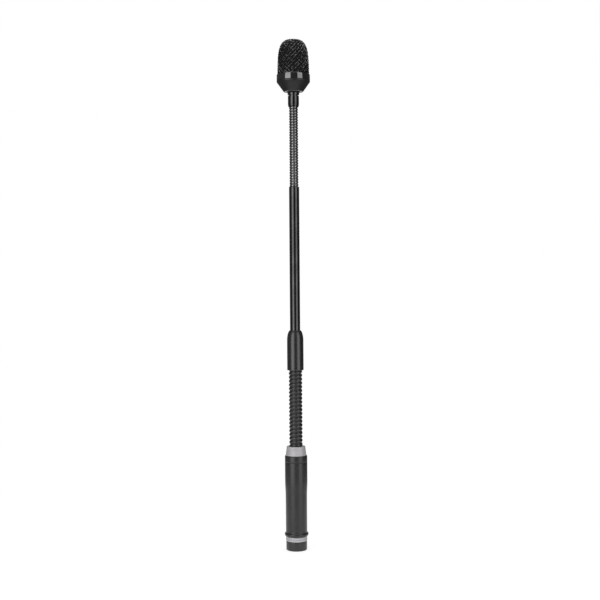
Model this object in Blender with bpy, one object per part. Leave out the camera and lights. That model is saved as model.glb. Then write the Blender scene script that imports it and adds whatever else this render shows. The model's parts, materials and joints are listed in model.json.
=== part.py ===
"""A gooseneck podium microphone, standing on its three-pin tail, +Z up, origin in the middle of the tail's rim.

Most pieces are turned about +Z. Each is lathed from a closed outline of (radius, height) points in its own
function, and the heights stack up from the tail's rim, piece on piece, with a hairline seam between them.
"""

import math

import bmesh
import bpy
from mathutils import Matrix, Vector

MM = 0.001

# Clearances
SEAM = 0.3 * MM  # between two pieces that sit end to end
FIT = 0.25 * MM  # around a piece that sits in a bore
MERGE = 0.002 * MM  # points of one mesh nearer than this are one point

# Three-pin tail
TAIL_RADIUS = 9.5 * MM
TAIL_LENGTH = 8.2 * MM
TAIL_WALL = 1.3 * MM
TAIL_RIM_CHAMFER = 0.4 * MM
SPIGOT_WALL = 0.85 * MM
SPIGOT_LENGTH = 17.0 * MM
SOCKET_DEPTH = 12.6 * MM
INSULATOR_THICKNESS = 6.0 * MM
KEYWAY_WIDTH = 2.4 * MM
KEYWAY_DEPTH = 0.6 * MM
KEYWAY_LENGTH = 7.0 * MM
LATCH_WINDOW = (4.0 * MM, 2.6 * MM)  # width round the shell, height
LATCH_WINDOW_CENTRE = 4.8 * MM
PIN_RADIUS = 1.2 * MM
PIN_CIRCLE = 3.9 * MM
PIN_ANGLES = (165, 15, 270)  # degrees round the tail, contacts 1, 2 and 3
PIN_SETBACK = 2.0 * MM
PIN_TIP_RADIUS = 0.7 * MM
PIN_TIP_LENGTH = 1.0 * MM
SOLDER_CUP_LENGTH = 4.0 * MM
SOLDER_CUP_WALL = 0.4 * MM

# Lower trim ring
RING_PROUD = 0.2 * MM  # of the tail
RING_HEIGHT = 4.1 * MM
RING_GROOVE = 0.35 * MM

# Handle barrel, its cap and the trim collar
BARREL_PROUD = 0.28 * MM  # of the tail
BARREL_GROWTH = 0.37 * MM  # from the foot's radius to the head's
BARREL_LENGTH = 67.3 * MM
BARREL_WALL = 1.4 * MM
BARREL_STRAIGHT = 17.3 * MM  # at the head's radius, down from the head
BARREL_SWELL = 14.0 * MM  # length over which the foot's radius grows into the head's
BEAD_PROUD = 0.87 * MM
BEAD_HEIGHT = 3.2 * MM
BEAD_STEPS = 6
CAP_HEIGHT = 5.7 * MM
CAP_SPIGOT_LENGTH = 5.0 * MM
COLLAR_STEP = 0.65 * MM  # in from the cap
COLLAR_TAPER = 0.75 * MM
COLLAR_HEIGHT = 7.5 * MM
COLLAR_CHAMFER = 0.5 * MM
SCREW_RADIUS = 1.25 * MM
SCREW_LENGTH = 1.5 * MM
SCREW_HEIGHT = 5.5 * MM  # above the barrel's foot
SCREW_SOCKET = 0.6 * MM  # radius

# Preamplifier board
BOARD_WIDTH = 12.6 * MM
BOARD_THICKNESS = 1.6 * MM
BOARD_HEADROOM = 10.0 * MM  # below the neck's anchor
CAPACITOR_RADIUS = 2.5 * MM
CAPACITOR_LENGTH = 7.0 * MM
CAPACITOR_SPACING = 13.0 * MM
TRANSFORMER_SIZE = (8.0 * MM, 4.2 * MM, 9.0 * MM)

# Goosenecks. A neck is a wound tube; it is made as short sections that turn about the hinges between them.
LOWER_NECK_RADIUS = 5.95 * MM
LOWER_NECK_BORE = 3.2 * MM
LOWER_NECK_LENGTH = 69.8 * MM
LOWER_NECK_RIBS_PER_SECTION = 2
LOWER_NECK_BEND = 15.0  # degrees at each hinge
LOWER_NECK_SHANK = 12.0 * MM
UPPER_NECK_RADIUS = 3.96 * MM
UPPER_NECK_BORE = 2.0 * MM
UPPER_NECK_LENGTH = 73.0 * MM
UPPER_NECK_RIBS_PER_SECTION = 3
UPPER_NECK_BEND = 18.0
UPPER_NECK_SHANK = 7.0 * MM
HINGES = 10
RIB_HEIGHT = 0.13  # of the neck's radius
HINGE_GAP = 0.12 * MM  # left at a hinge when the neck is bent as far as it goes

# Anchor and nut that hold the lower neck in the barrel's cap
ANCHOR_WALL = 0.75 * MM
ANCHOR_FLANGE = 1.4 * MM
NUT_HEIGHT = 3.0 * MM
NUT_SLOT = (1.6 * MM, 1.2 * MM)  # width, depth

# Transition sleeve and stem tube
SLEEVE_RADIUS = 7.45 * MM
SLEEVE_NOSE_WALL = 0.95 * MM
SLEEVE_LENGTH = 35.7 * MM
SLEEVE_NOSE_LENGTH = 11.5 * MM
STEM_RADIUS = 4.6 * MM
STEM_WALL = 0.75 * MM
STEM_EXPOSED = 131.4 * MM
STEM_INSERTED = 19.0 * MM

# Ferrule under the head
FERRULE_RADIUS = 5.0 * MM
FERRULE_HEIGHT = 13.7 * MM
FERRULE_TOP_FLANGE = 5.35 * MM
FERRULE_FLANGE_HEIGHT = 2.0 * MM
FERRULE_GROOVE = 0.3 * MM
FERRULE_ROUNDING = 1.0 * MM
FERRULE_SPIGOT_RADIUS = 3.6 * MM
FERRULE_NUT_RADIUS = 6.0 * MM
FERRULE_NUT_HEIGHT = 2.0 * MM

# Head: cup, band, grille and what they hold
CUP_FOOT_RADIUS = 9.4 * MM
CUP_HEIGHT = 7.8 * MM
CUP_WALL = 1.5 * MM
HEAD_RADIUS = 15.1 * MM
BAND_HEIGHT = 7.0 * MM
BAND_WALL = 0.65 * MM
BAND_CHAMFER = 0.4 * MM
GRILLE_HEIGHT = 31.4 * MM
GRILLE_TUCK = 3.5 * MM  # length of the grille's rim inside the band
GRILLE_WALL = 0.8 * MM
GRILLE_TAPER = 0.052
GRILLE_SQUARENESS = (4.0, 3.1)
FOAM_WALL = 2.4 * MM
RETAINER_WALL = 1.2 * MM
RETAINER_HEIGHT = 3.0 * MM
CAPSULE_RADIUS = 7.0 * MM
CAPSULE_HEIGHT = 9.0 * MM
CAPSULE_FACE = 1.2 * MM
CAPSULE_PORT_RADIUS = 0.9 * MM
CAPSULE_PORT_CIRCLE = 3.6 * MM
CAPSULE_PORTS = 6
CAPSULE_WALL = 1.4 * MM
DIAPHRAGM_THICKNESS = 0.3 * MM
MOUNT_HEIGHT = 5.0 * MM
MOUNT_LIP = 1.0 * MM
CABLE_RADIUS = 1.4 * MM
CABLE_TAIL = 3.0 * MM  # inside the cartridge

# Facets round a turned piece
FINE = 24
COARSE = 12
SMALL = 10
HEX = 6

# Heights of the stack, worked out from the lengths above
PIN_TOP = SOCKET_DEPTH + INSULATOR_THICKNESS + SOLDER_CUP_LENGTH
RING_Z = TAIL_LENGTH + SEAM
BARREL_Z = RING_Z + RING_HEIGHT + SEAM
CAP_Z = BARREL_Z + BARREL_LENGTH + SEAM
NUT_Z = CAP_Z - CAP_SPIGOT_LENGTH - SEAM - NUT_HEIGHT
BOARD_TOP = NUT_Z - SEAM - BOARD_HEADROOM
COLLAR_Z = CAP_Z + CAP_HEIGHT + SEAM
LOWER_NECK_Z = COLLAR_Z + COLLAR_HEIGHT
SLEEVE_Z = LOWER_NECK_Z + LOWER_NECK_LENGTH
STEM_Z = SLEEVE_Z + SLEEVE_LENGTH - STEM_INSERTED
UPPER_NECK_Z = STEM_Z + STEM_INSERTED + STEM_EXPOSED
FERRULE_Z = UPPER_NECK_Z + UPPER_NECK_LENGTH
CUP_Z = FERRULE_Z + FERRULE_HEIGHT + SEAM
BAND_Z = CUP_Z + CUP_HEIGHT + SEAM
GRILLE_Z = BAND_Z + BAND_HEIGHT

# Radii that follow from their neighbours
TAIL_BORE = TAIL_RADIUS - TAIL_WALL
SPIGOT_RADIUS = TAIL_BORE + SPIGOT_WALL
RING_RADIUS = TAIL_RADIUS + RING_PROUD
BARREL_FOOT_RADIUS = TAIL_RADIUS + BARREL_PROUD
BARREL_HEAD_RADIUS = BARREL_FOOT_RADIUS + BARREL_GROWTH
BARREL_BORE = BARREL_FOOT_RADIUS - BARREL_WALL
LOWER_SHANK_RADIUS = LOWER_NECK_RADIUS * (1 - RIB_HEIGHT)
UPPER_SHANK_RADIUS = UPPER_NECK_RADIUS * (1 - RIB_HEIGHT)
STEM_SHANK_RADIUS = STEM_RADIUS - STEM_WALL - FIT
ANCHOR_RADIUS = LOWER_SHANK_RADIUS + FIT + ANCHOR_WALL
CABLE_BORE = CABLE_RADIUS + 2 * FIT
GRILLE_RADIUS = HEAD_RADIUS - BAND_WALL
RETAINER_RADIUS = GRILLE_RADIUS - GRILLE_WALL - SEAM

PALETTE = {
    # name: (colour, metallic, roughness)
    "black_tail": ((0.045, 0.043, 0.047), 0.6, 0.42),
    "barrel_black": ((0.055, 0.053, 0.058), 0.5, 0.45),
    "sleeve_black": ((0.022, 0.021, 0.022), 0.6, 0.35),
    "gloss_black": ((0.02, 0.02, 0.021), 0.8, 0.12),
    "coil_black": ((0.02, 0.02, 0.02), 0.7, 0.3),
    "satin_silver": ((0.47, 0.46, 0.47), 0.9, 0.4),
    "contact_metal": ((0.75, 0.74, 0.7), 1.0, 0.25),
    "bare_steel": ((0.5, 0.5, 0.5), 1.0, 0.35),
    "insulator_black": ((0.03, 0.03, 0.03), 0.0, 0.5),
    "board_green": ((0.02, 0.12, 0.05), 0.0, 0.5),
    "capacitor_blue": ((0.03, 0.05, 0.15), 0.0, 0.4),
    "foam_grey": ((0.03, 0.03, 0.03), 0.0, 0.95),
    "mount_rubber": ((0.02, 0.02, 0.02), 0.0, 0.8),
    "capsule_silver": ((0.6, 0.6, 0.6), 1.0, 0.3),
    "cable_grey": ((0.05, 0.05, 0.05), 0.0, 0.6),
}


def clear_scene():
    for obj in list(bpy.data.objects):
        bpy.data.objects.remove(obj)


def finish_of(name):
    """The Principled material of that name, made once."""
    if name in bpy.data.materials:
        return bpy.data.materials[name]
    colour, metallic, roughness = PALETTE[name]
    material = bpy.data.materials.new(name)
    material.use_nodes = True
    shader = material.node_tree.nodes["Principled BSDF"]
    shader.inputs["Base Color"].default_value = (*colour, 1)
    shader.inputs["Metallic"].default_value = metallic
    shader.inputs["Roughness"].default_value = roughness
    return material


def add_object(name, bm, finish, place=Vector((0, 0, 0))):
    """Makes an object of the bmesh at place, with its faces pointing out."""
    bmesh.ops.recalc_face_normals(bm, faces=bm.faces)
    mesh = bpy.data.meshes.new(name)
    bm.to_mesh(mesh)
    bm.free()
    mesh.materials.append(finish_of(finish))
    mesh.shade_smooth()
    mesh.set_sharp_from_angle(angle=math.radians(30))
    obj = bpy.data.objects.new(name, mesh)
    obj.location = place
    bpy.context.scene.collection.objects.link(obj)
    return obj


def lathe(outline, facets):
    """A bmesh turned about +Z from a closed outline of (radius, height), or from one that ends on the axis."""
    bm = bmesh.new()
    points = [bm.verts.new((radius, 0, height)) for radius, height in outline]
    on_axis = outline[0][0] == 0 and outline[-1][0] == 0
    pairs = list(zip(points, points[1:]))
    if not on_axis:
        pairs.append((points[-1], points[0]))
    line = points + [bm.edges.new(pair) for pair in pairs]
    axis = {"cent": (0, 0, 0), "axis": (0, 0, 1)}
    bmesh.ops.spin(bm, geom=line, angle=math.tau, steps=facets, use_merge=True, **axis)
    bmesh.ops.remove_doubles(bm, verts=bm.verts, dist=MERGE)
    return bm


def turned(name, outline, finish, facets=FINE, base=0.0):
    """A turned piece whose outline's heights count from base."""
    return add_object(name, lathe(outline, facets), finish, Vector((0, 0, base)))


def block(size, centre):
    """A bmesh box of that size round that centre."""
    bm = bmesh.new()
    bmesh.ops.create_cube(bm, size=1, matrix=Matrix.Translation(centre) @ Matrix.Diagonal((*size, 1)))
    return bm


def rod(radius, start, end, facets):
    """A bmesh cylinder from start to end."""
    bm = bmesh.new()
    run = Vector(end) - Vector(start)
    turn = run.to_track_quat("Z", "Y").to_matrix().to_4x4()
    place = Matrix.Translation((Vector(start) + Vector(end)) / 2) @ turn
    size = {"radius1": radius, "radius2": radius, "depth": run.length}
    bmesh.ops.create_cone(bm, cap_ends=True, segments=facets, matrix=place, **size)
    return bm


def cut(obj, cutter_bm, name):
    """Takes the cutter's shape out of obj with a Boolean modifier."""
    cutter = add_object(name, cutter_bm, "bare_steel")
    cutter.hide_render = True
    cutter.display_type = "WIRE"
    modifier = obj.modifiers.new(name, "BOOLEAN")
    modifier.object = cutter
    modifier.operation = "DIFFERENCE"


def eased(share):
    """0 to 1 with a level start and end."""
    return share * share * (3 - 2 * share)


# ---- three-pin tail ----


def tail_shell():
    outline = [
        (TAIL_BORE, 0),
        (TAIL_RADIUS - TAIL_RIM_CHAMFER, 0),
        (TAIL_RADIUS, TAIL_RIM_CHAMFER),
        (TAIL_RADIUS, TAIL_LENGTH),
        (SPIGOT_RADIUS, TAIL_LENGTH),
        (SPIGOT_RADIUS, TAIL_LENGTH + SPIGOT_LENGTH),
        (TAIL_BORE, TAIL_LENGTH + SPIGOT_LENGTH),
    ]
    shell = turned("xlr_tail_shell", outline, "black_tail")
    keyway = block((KEYWAY_WIDTH, 2 * KEYWAY_DEPTH, 2 * KEYWAY_LENGTH), (0, -TAIL_BORE, 0))
    cut(shell, keyway, "keyway_cutter")
    width, height = LATCH_WINDOW
    window = block((width, 3 * TAIL_WALL, height), (0, TAIL_RADIUS - TAIL_WALL / 2, LATCH_WINDOW_CENTRE))
    cut(shell, window, "latch_window_cutter")
    cut(shell, screw_hole(), "shell_screw_cutter")


def screw_hole():
    """The drilled hole behind the barrel that the insert screw stands in."""
    height = BARREL_Z + SCREW_HEIGHT
    return rod(SCREW_RADIUS + FIT, (0, TAIL_BORE / 2, height), (0, 2 * TAIL_RADIUS, height), SMALL)


def disc(radius, thickness):
    """The outline of a plain disc."""
    return [(0, 0), (radius, 0), (radius, thickness), (0, thickness)]


def insulator():
    outline = disc(TAIL_BORE - FIT, INSULATOR_THICKNESS)
    body = turned("xlr_insulator", outline, "insulator_black", COARSE, SOCKET_DEPTH)
    for number, centre in enumerate(pin_centres(), 1):
        low = (*centre, SOCKET_DEPTH - SEAM)
        high = (*centre, SOCKET_DEPTH + INSULATOR_THICKNESS + SEAM)
        cut(body, rod(PIN_RADIUS + FIT / 2, low, high, SMALL), f"insulator_hole_{number}")


def pin_centres():
    return [
        (PIN_CIRCLE * math.cos(math.radians(angle)), PIN_CIRCLE * math.sin(math.radians(angle)))
        for angle in PIN_ANGLES
    ]


def contact_pins():
    """Three contacts with a rounded tip below and a solder cup above."""
    cup = PIN_RADIUS - SOLDER_CUP_WALL
    cup_floor = PIN_TOP - SOLDER_CUP_LENGTH + SOLDER_CUP_WALL
    outline = [
        (0, PIN_SETBACK),
        (PIN_TIP_RADIUS, PIN_SETBACK),
        (PIN_RADIUS, PIN_SETBACK + PIN_TIP_LENGTH),
        (PIN_RADIUS, PIN_TOP),
        (cup, PIN_TOP),
        (cup, cup_floor),
        (0, cup_floor),
    ]
    for number, (x, y) in enumerate(pin_centres(), 1):
        add_object(f"xlr_pin_{number}", lathe(outline, SMALL), "contact_metal", Vector((x, y, 0)))


# ---- trim ring, barrel, cap and collar ----


def trim_ring():
    bore = SPIGOT_RADIUS + FIT
    middle = RING_HEIGHT / 2
    outline = [
        (bore, 0),
        (RING_RADIUS, 0),
        (RING_RADIUS, middle - RING_GROOVE),
        (RING_RADIUS - RING_GROOVE / 2, middle),
        (RING_RADIUS, middle + RING_GROOVE),
        (RING_RADIUS, RING_HEIGHT),
        (bore, RING_HEIGHT),
    ]
    turned("lower_trim_ring", outline, "satin_silver", FINE, RING_Z)


def barrel():
    """A tube with a rolled bead at its foot. It takes the tail's spigot below and the cap's above."""
    swell_top = BARREL_LENGTH - BARREL_STRAIGHT
    swell = [
        (BARREL_FOOT_RADIUS + BARREL_GROWTH * eased(share), swell_top - BARREL_SWELL * (1 - share))
        for share in (0, 0.5, 1)
    ]
    turns = [math.pi * step / BEAD_STEPS for step in range(1, BEAD_STEPS)]
    middle = BEAD_HEIGHT / 2
    bead = [(BARREL_FOOT_RADIUS + BEAD_PROUD * math.sin(turn), middle * (1 - math.cos(turn))) for turn in turns]
    spigot_bore = SPIGOT_RADIUS + FIT
    shoulder = TAIL_LENGTH + SPIGOT_LENGTH + SEAM - BARREL_Z
    outline = [
        (spigot_bore, 0),
        (BARREL_FOOT_RADIUS, 0),
        *bead,
        (BARREL_FOOT_RADIUS, BEAD_HEIGHT),
        *swell,
        (BARREL_HEAD_RADIUS, BARREL_LENGTH),
        (BARREL_BORE, BARREL_LENGTH),
        (BARREL_BORE, shoulder),
        (spigot_bore, shoulder),
    ]
    tube = turned("handle_barrel", outline, "barrel_black", FINE, BARREL_Z)
    cut(tube, screw_hole(), "barrel_screw_cutter")


def insert_screw():
    """The headless screw that keeps the tail's shell in the barrel, with its driver socket outwards."""
    height = BARREL_Z + SCREW_HEIGHT
    outline = [
        (0, 0),
        (SCREW_RADIUS, 0),
        (SCREW_RADIUS, SCREW_LENGTH),
        (SCREW_SOCKET, SCREW_LENGTH),
        (SCREW_SOCKET, SCREW_LENGTH / 2),
        (0, SCREW_LENGTH / 2),
    ]
    place = Vector((0, TAIL_BORE + FIT, height))
    screw = add_object("insert_screw", lathe(outline, SMALL), "bare_steel", place)
    screw.rotation_euler = (-math.pi / 2, 0, 0)


def barrel_cap():
    """Closes the barrel's top with a spigot in the barrel, and lets the neck's anchor through."""
    bore = ANCHOR_RADIUS + FIT
    outline = [
        (bore, -CAP_SPIGOT_LENGTH),
        (BARREL_BORE - FIT, -CAP_SPIGOT_LENGTH),
        (BARREL_BORE - FIT, 0),
        (BARREL_HEAD_RADIUS, 0),
        (BARREL_HEAD_RADIUS, CAP_HEIGHT),
        (bore, CAP_HEIGHT),
    ]
    turned("barrel_cap", outline, "barrel_black", FINE, CAP_Z)


def trim_collar():
    """A low cone on the cap, hollow below where the anchor's flange lies."""
    bore = LOWER_NECK_RADIUS + FIT
    foot = BARREL_HEAD_RADIUS - COLLAR_STEP
    head = foot - COLLAR_TAPER
    recess = ANCHOR_RADIUS + ANCHOR_FLANGE + FIT
    recess_top = ANCHOR_FLANGE + SEAM
    outline = [
        (recess, 0),
        (foot, 0),
        (head, COLLAR_HEIGHT - COLLAR_CHAMFER),
        (head - COLLAR_CHAMFER, COLLAR_HEIGHT),
        (bore, COLLAR_HEIGHT),
        (bore, recess_top),
        (recess, recess_top),
    ]
    turned("upper_trim_collar", outline, "satin_silver", FINE, COLLAR_Z)


def neck_anchor():
    """The bush that the lower neck's shank is fixed in. Its flange lies on the cap, and a nut draws it down."""
    bore = LOWER_SHANK_RADIUS + FIT
    flange = ANCHOR_RADIUS + ANCHOR_FLANGE
    foot = NUT_Z - COLLAR_Z - SEAM
    outline = [
        (bore, foot),
        (ANCHOR_RADIUS, foot),
        (ANCHOR_RADIUS, 0),
        (flange, 0),
        (flange, ANCHOR_FLANGE),
        (bore, ANCHOR_FLANGE),
    ]
    turned("lower_neck_anchor", outline, "bare_steel", COARSE, COLLAR_Z)


def anchor_nut():
    """A ring nut under the cap's spigot, with a slot across its foot for the driver."""
    bore = ANCHOR_RADIUS + FIT
    outer = BARREL_BORE - FIT
    outline = [(bore, 0), (outer, 0), (outer, NUT_HEIGHT), (bore, NUT_HEIGHT)]
    nut = turned("anchor_nut", outline, "bare_steel", COARSE, NUT_Z)
    width, depth = NUT_SLOT
    cut(nut, block((3 * outer, width, 2 * depth), (0, 0, NUT_Z)), "nut_slot_cutter")


# ---- preamplifier ----


def preamplifier():
    """A board standing in the barrel behind the pins, with a transformer and two capacitors on it."""
    foot = PIN_TOP + SEAM
    middle = (foot + BOARD_TOP) / 2
    board = block((BOARD_WIDTH, BOARD_THICKNESS, BOARD_TOP - foot), (0, 0, middle))
    add_object("preamp_board", board, "board_green")
    face = BOARD_THICKNESS / 2 + SEAM
    transformer = (0, face + TRANSFORMER_SIZE[1] / 2, middle)
    add_object("preamp_transformer", block(TRANSFORMER_SIZE, transformer), "insulator_black")
    for number, side in enumerate((-1, 1), 1):
        height = middle + side * CAPACITOR_SPACING / 2 - CAPACITOR_LENGTH / 2
        can = lathe(disc(CAPACITOR_RADIUS, CAPACITOR_LENGTH), SMALL)
        place = Vector((0, -face - CAPACITOR_RADIUS, height))
        add_object(f"coupling_capacitor_{number}", can, "capacitor_blue", place)


# ---- goosenecks ----


def end_face(radius, bore, bend):
    """How far a section's end stands back from its hinge, at the rib's root and at the bore."""
    slope = math.tan(math.radians(bend / 2))
    return HINGE_GAP + radius * slope, HINGE_GAP + bore * slope


def ribs(radius, root, pitch, low, count):
    """The outline of count ribs from height low upwards: their crests, and the valleys between them."""
    steps = range(1, 2 * count)
    return [(radius if step % 2 else root, low + step * pitch / 2) for step in steps]


def neck(prefix, base, length, radius, bore, per_section, bend, shanks, shank_length):
    """The sections of one gooseneck, from its lower shank to its upper one, with a hinge in each gap.

    The hinges stand evenly along the neck. The first and last sections are half as long, and have the shanks.
    """
    lower_shank, upper_shank = shanks
    pitch = length / (HINGES * per_section)
    root = radius * (1 - RIB_HEIGHT)
    back_root, back_bore = end_face(root, bore, bend)
    spacing = length / HINGES
    for number in range(HINGES + 1):
        low = base + (number - 0.5) * spacing
        high = low + spacing
        count = per_section
        bottom = [(bore, low + back_bore), (root, low + back_root)]
        top = [(root, high - back_root), (bore, high - back_bore)]
        ribs_low = low
        if number == 0:
            tip = base - shank_length
            bottom = [(bore, tip), (lower_shank, tip), (lower_shank, base)]
            count = per_section // 2
            ribs_low = high - count * pitch
        if number == HINGES:
            tip = base + length + shank_length
            top = [(upper_shank, base + length), (upper_shank, tip), (bore, tip)]
            count = per_section // 2
        outline = bottom + ribs(radius, root, pitch, ribs_low, count) + top
        turned(f"{prefix}_section_{number}", outline, "coil_black", COARSE)


def goosenecks():
    neck(
        "lower_neck",
        LOWER_NECK_Z,
        LOWER_NECK_LENGTH,
        LOWER_NECK_RADIUS,
        LOWER_NECK_BORE,
        LOWER_NECK_RIBS_PER_SECTION,
        LOWER_NECK_BEND,
        (LOWER_SHANK_RADIUS, LOWER_SHANK_RADIUS),
        LOWER_NECK_SHANK,
    )
    neck(
        "upper_neck",
        UPPER_NECK_Z,
        UPPER_NECK_LENGTH,
        UPPER_NECK_RADIUS,
        UPPER_NECK_BORE,
        UPPER_NECK_RIBS_PER_SECTION,
        UPPER_NECK_BEND,
        (STEM_SHANK_RADIUS, UPPER_SHANK_RADIUS),
        UPPER_NECK_SHANK,
    )


# ---- stem ----


def transition_sleeve():
    """Takes the lower neck's shank below and the stem tube above; its nose rounds in to the tube."""
    neck_bore = LOWER_SHANK_RADIUS + FIT
    tube_bore = STEM_RADIUS + FIT
    step = SLEEVE_LENGTH - STEM_INSERTED - SEAM
    draw = SLEEVE_RADIUS - tube_bore - SLEEVE_NOSE_WALL
    nose = [
        (SLEEVE_RADIUS - draw * share**2, SLEEVE_LENGTH - SLEEVE_NOSE_LENGTH * (1 - share))
        for share in (0, 0.3, 0.55, 0.8, 1)
    ]
    outline = [
        (neck_bore, 0),
        (SLEEVE_RADIUS, 0),
        *nose,
        (tube_bore, SLEEVE_LENGTH),
        (tube_bore, step),
        (neck_bore, step),
    ]
    turned("transition_sleeve", outline, "sleeve_black", FINE, SLEEVE_Z)


def stem_tube():
    bore = STEM_RADIUS - STEM_WALL
    length = STEM_INSERTED + STEM_EXPOSED
    outline = [(bore, 0), (STEM_RADIUS, 0), (STEM_RADIUS, length), (bore, length)]
    turned("stem_tube", outline, "sleeve_black", FINE, STEM_Z)


# ---- head ----


def head_ferrule():
    """Takes the upper neck's shank below; its spigot passes through the cup's floor."""
    bore = UPPER_SHANK_RADIUS + FIT
    flange_foot = FERRULE_HEIGHT - FERRULE_FLANGE_HEIGHT
    seat = UPPER_NECK_SHANK + SEAM
    spigot_top = FERRULE_HEIGHT + CUP_WALL + FERRULE_NUT_HEIGHT + 3 * SEAM
    outline = [
        (bore, 0),
        (FERRULE_RADIUS - FERRULE_ROUNDING, 0),
        (FERRULE_RADIUS, FERRULE_ROUNDING),
        (FERRULE_RADIUS, flange_foot - FERRULE_GROOVE),
        (FERRULE_RADIUS - FERRULE_GROOVE, flange_foot - FERRULE_GROOVE / 2),
        (FERRULE_RADIUS, flange_foot),
        (FERRULE_TOP_FLANGE, FERRULE_HEIGHT),
        (FERRULE_SPIGOT_RADIUS, FERRULE_HEIGHT),
        (FERRULE_SPIGOT_RADIUS, spigot_top),
        (CABLE_BORE, spigot_top),
        (CABLE_BORE, seat),
        (bore, seat),
    ]
    turned("head_ferrule", outline, "sleeve_black", COARSE, FERRULE_Z)


def ferrule_nut():
    """Holds the cup's floor down on the ferrule's flange."""
    low = CUP_Z + CUP_WALL + SEAM
    high = low + FERRULE_NUT_HEIGHT
    nut = add_object("ferrule_nut", rod(FERRULE_NUT_RADIUS, (0, 0, low), (0, 0, high), HEX), "bare_steel")
    bore = rod(FERRULE_SPIGOT_RADIUS + FIT, (0, 0, low - SEAM), (0, 0, high + SEAM), COARSE)
    cut(nut, bore, "ferrule_nut_cutter")


def head_cup():
    bore = FERRULE_SPIGOT_RADIUS + FIT
    rim = HEAD_RADIUS - CUP_WALL
    floor = CUP_FOOT_RADIUS - CUP_WALL / 2
    outline = [
        (bore, 0),
        (CUP_FOOT_RADIUS, 0),
        (HEAD_RADIUS, CUP_HEIGHT),
        (rim, CUP_HEIGHT),
        (floor, CUP_WALL),
        (bore, CUP_WALL),
    ]
    turned("head_cup", outline, "sleeve_black", FINE, CUP_Z)


def grille_band():
    """The ring round the grille's rim, on the cup."""
    bore = GRILLE_RADIUS + FIT
    outline = [
        (bore, 0),
        (HEAD_RADIUS, 0),
        (HEAD_RADIUS, BAND_HEIGHT - BAND_CHAMFER),
        (HEAD_RADIUS - BAND_CHAMFER, BAND_HEIGHT),
        (bore, BAND_HEIGHT),
    ]
    turned("grille_band", outline, "gloss_black", FINE, BAND_Z)


def dome(radius, height, shares):
    """Points from a dome's rim to its crown, as shares of its height: a slight taper and a squared shoulder."""
    power, root = GRILLE_SQUARENESS
    widths = [(1 - GRILLE_TAPER * share) * (1 - share**power) ** (1 / root) for share in shares]
    return [(radius * width, height * share) for width, share in zip(widths, shares)]


def domed_shell(name, radius, height, wall, tuck, finish, facets):
    """A dome of even wall, open below, whose rim runs straight down for tuck."""
    shares = (0, 0.35, 0.6, 0.76, 0.87, 0.94, 0.985, 1)
    outer = dome(radius, height, shares)
    inner = dome(radius - wall, height - wall, shares)
    outline = [*reversed(inner), (radius - wall, -tuck), (radius, -tuck), *outer]
    turned(name, outline, finish, facets, GRILLE_Z)


def grille():
    """The dome with its rim inside the band, the foam that lines it, and the ring that keeps both in."""
    tuck = min(GRILLE_TUCK, BAND_HEIGHT - 2 * SEAM)
    domed_shell("grille_mesh", GRILLE_RADIUS, GRILLE_HEIGHT, GRILLE_WALL, tuck, "coil_black", FINE)
    height = GRILLE_HEIGHT - GRILLE_WALL - SEAM
    domed_shell("foam_windscreen", RETAINER_RADIUS, height, FOAM_WALL, 0, "foam_grey", COARSE)
    bore = RETAINER_RADIUS - RETAINER_WALL
    ring_top = -SEAM
    ring_foot = ring_top - RETAINER_HEIGHT
    ring = [(bore, ring_foot), (RETAINER_RADIUS, ring_foot), (RETAINER_RADIUS, ring_top), (bore, ring_top)]
    turned("grille_retainer", ring, "bare_steel", COARSE, GRILLE_Z)


def capsule():
    """The cartridge with its diaphragm and ported face, in a rubber mount inside the retainer ring."""
    foot = GRILLE_Z - SEAM - MOUNT_HEIGHT
    body_height = CAPSULE_HEIGHT - CAPSULE_FACE - SEAM
    seat = body_height - DIAPHRAGM_THICKNESS - SEAM
    ledge = CAPSULE_RADIUS - CAPSULE_WALL
    body = [
        (CABLE_BORE, 0),
        (CAPSULE_RADIUS, 0),
        (CAPSULE_RADIUS, body_height),
        (ledge, body_height),
        (ledge, seat - SEAM),
        (CABLE_BORE, seat - SEAM),
    ]
    turned("capsule_housing", body, "capsule_silver", COARSE, foot)
    turned("capsule_diaphragm", disc(ledge - FIT, DIAPHRAGM_THICKNESS), "contact_metal", COARSE, foot + seat)
    face_z = foot + body_height + SEAM
    plate = turned("capsule_face", disc(CAPSULE_RADIUS, CAPSULE_FACE), "capsule_silver", COARSE, face_z)
    for number in range(CAPSULE_PORTS):
        angle = math.tau * number / CAPSULE_PORTS
        x, y = CAPSULE_PORT_CIRCLE * math.cos(angle), CAPSULE_PORT_CIRCLE * math.sin(angle)
        hole = rod(CAPSULE_PORT_RADIUS, (x, y, face_z - SEAM), (x, y, face_z + CAPSULE_FACE + SEAM), HEX)
        cut(plate, hole, f"port_cutter_{number}")
    capsule_mount(foot)


def capsule_mount(foot):
    """A rubber ring round the cartridge's foot, with a lip under it."""
    outer = RETAINER_RADIUS - RETAINER_WALL - FIT
    bore = CAPSULE_RADIUS + FIT
    lip = bore - MOUNT_LIP
    lip_foot = -SEAM - MOUNT_LIP
    outline = [
        (lip, lip_foot),
        (outer, lip_foot),
        (outer, MOUNT_HEIGHT),
        (bore, MOUNT_HEIGHT),
        (bore, -SEAM),
        (lip, -SEAM),
    ]
    turned("capsule_mount", outline, "mount_rubber", COARSE, foot)


def signal_cable():
    """The screened lead inside both necks, from the board's head to the capsule."""
    low = BOARD_TOP + SEAM
    high = GRILLE_Z - MOUNT_HEIGHT + CABLE_TAIL
    add_object("signal_cable", rod(CABLE_RADIUS, (0, 0, low), (0, 0, high), SMALL), "cable_grey")


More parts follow.
